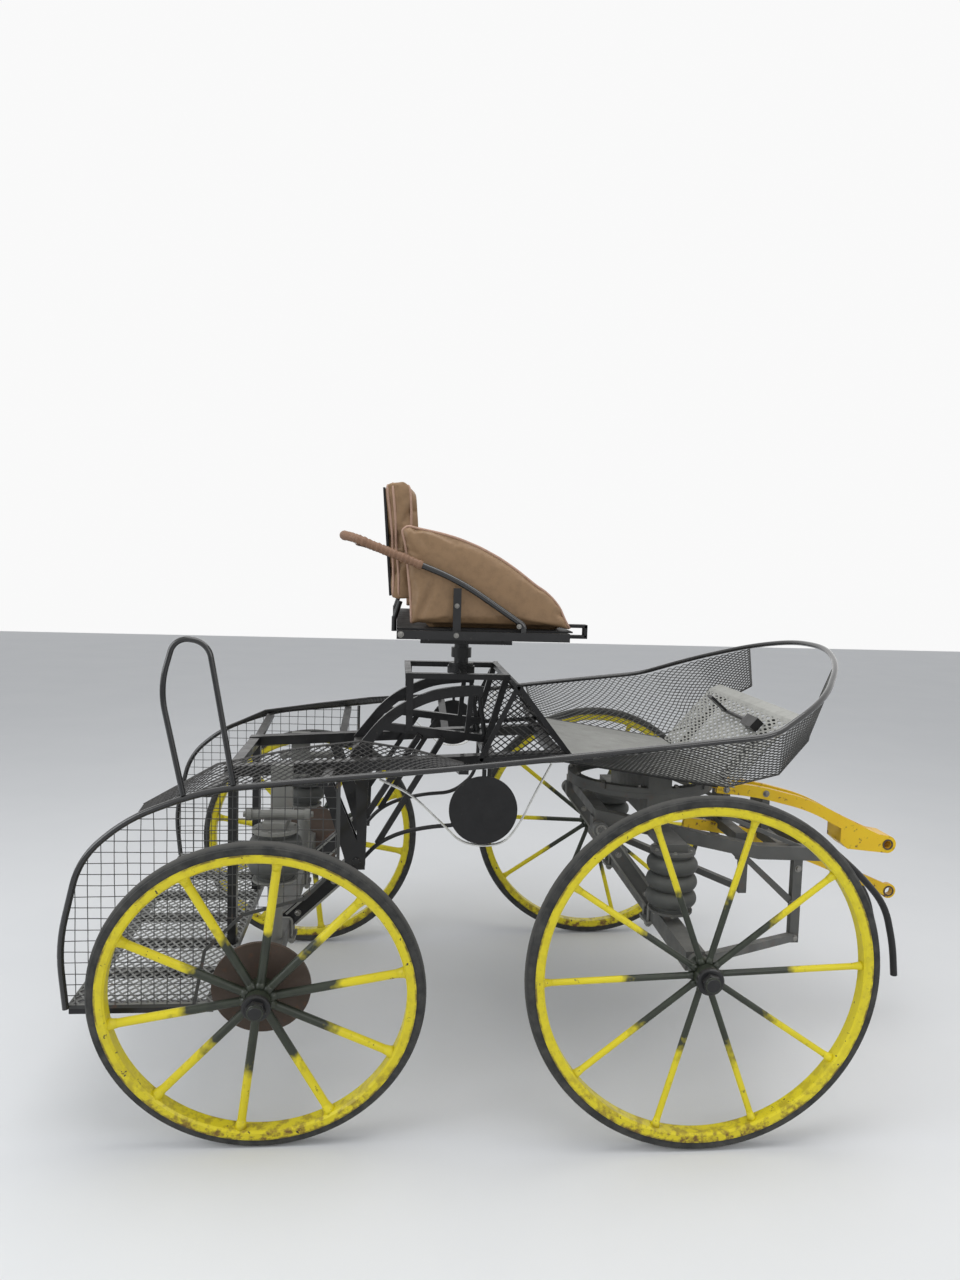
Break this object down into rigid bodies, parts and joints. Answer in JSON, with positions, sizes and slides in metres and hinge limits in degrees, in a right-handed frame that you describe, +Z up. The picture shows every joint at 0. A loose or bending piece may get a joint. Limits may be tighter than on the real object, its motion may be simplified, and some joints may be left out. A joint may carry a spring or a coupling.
{
  "type": "horse drawn carriage",
  "caption": "Four-wheeled horse-drawn driving carriage with a leather bench seat, tubular rails with mesh sides, spoked wheels and a turning fore-carriage with a pole fork",
  "frame": {"origin": "on the floor below the centre of the bounding box", "axes": "+X forward towards the horses, +Y to the left, +Z up; metres"},
  "size_m": [2.45, 1.464, 1.6536],
  "materials": {
    "black_steel": "gloss",
    "bright_steel": "brushed",
    "grey_steel": "worn, dusty",
    "plate_aluminium": "satin",
    "pole_yellow": "gloss, chipped",
    "wheel_yellow": "gloss, worn",
    "tyre_rubber": "matt",
    "bellows_rubber": "matt, dusty",
    "disc_iron": "rusty",
    "tan_leather": "semi-matt",
    "seat_board": "matt"
  },
  "bodies": {
    "carriage": {"arm_rails": "black_steel", "backrest": "tan_leather", "basket_sides": "black_steel", "brake_pedal": "black_steel", "chassis_beams": "black_steel", "cross_members": "black_steel", "disc_strips": "bright_steel", "floor_plate": "plate_aluminium", "grab_hoop": "black_steel", "guard_strips": "black_steel", "outriggers": "black_steel", "rail_bow": "black_steel", "rear_arms": "black_steel", "rear_axle": "grey_steel", "rear_brackets": "black_steel", "rear_spring_seats": "grey_steel", "rear_springs": "bellows_rubber", "rear_stays": "black_steel", "riser": "black_steel", "seat_arches": "black_steel", "seat_cradle": "black_steel", "seat_cushion": "tan_leather", "seat_frame": "black_steel", "seat_pan": "seat_board", "seat_post": "black_steel", "seat_rods": "black_steel", "seat_subframe": "black_steel", "side_discs": "black_steel", "side_panels": "tan_leather", "side_rails": "black_steel", "stand_frame": "black_steel", "stand_hangers": "black_steel", "stand_tread": "plate_aluminium", "toe_board": "plate_aluminium", "toe_braces": "black_steel", "turntable_upper": "grey_steel", "wings": "black_steel"},
    "fore_carriage": {"turntable_lower": "grey_steel", "fore_beams": "grey_steel", "fore_crosses": "grey_steel", "fore_springs": "bellows_rubber", "fore_spring_seats": "grey_steel", "fore_arms": "grey_steel", "front_axle": "grey_steel", "nose_struts": "grey_steel", "pole_fork": "pole_yellow", "lower_bracket": "pole_yellow", "guard_tube": "black_steel"},
    "wheel_body_rear_right": {"wheel_rear_right": "wheel_yellow", "tyre_rear_right": "tyre_rubber", "brake_disc_rear_right": "disc_iron"},
    "wheel_body_rear_left": {"wheel_rear_left": "wheel_yellow", "tyre_rear_left": "tyre_rubber", "brake_disc_rear_left": "disc_iron"},
    "wheel_body_front_right": {"wheel_front_right": "wheel_yellow", "tyre_front_right": "tyre_rubber"},
    "wheel_body_front_left": {"wheel_front_left": "wheel_yellow", "tyre_front_left": "tyre_rubber"}
  },
  "joints": [
    {"name": "steer", "type": "hinge", "parent": "carriage", "child": "fore_carriage", "pos_m": [0.349, 0, 0.788], "axis": [0, 0, 1], "range_deg": [-25, 25]},
    {"name": "roll_rear_right", "type": "hinge", "parent": "carriage", "child": "wheel_body_rear_right", "pos_m": [-0.737, -0.65, 0.39721], "axis": [0, 0.9925, 0.1219], "continuous": true},
    {"name": "roll_rear_left", "type": "hinge", "parent": "carriage", "child": "wheel_body_rear_left", "pos_m": [-0.737, 0.65, 0.39721], "axis": [0, 0.9925, -0.1219], "continuous": true},
    {"name": "roll_front_right", "type": "hinge", "parent": "fore_carriage", "child": "wheel_body_front_right", "pos_m": [0.349, -0.668, 0.45], "axis": [0, 1, 0], "continuous": true},
    {"name": "roll_front_left", "type": "hinge", "parent": "fore_carriage", "child": "wheel_body_front_left", "pos_m": [0.349, 0.668, 0.45], "axis": [0, 1, 0], "continuous": true}
  ]
}
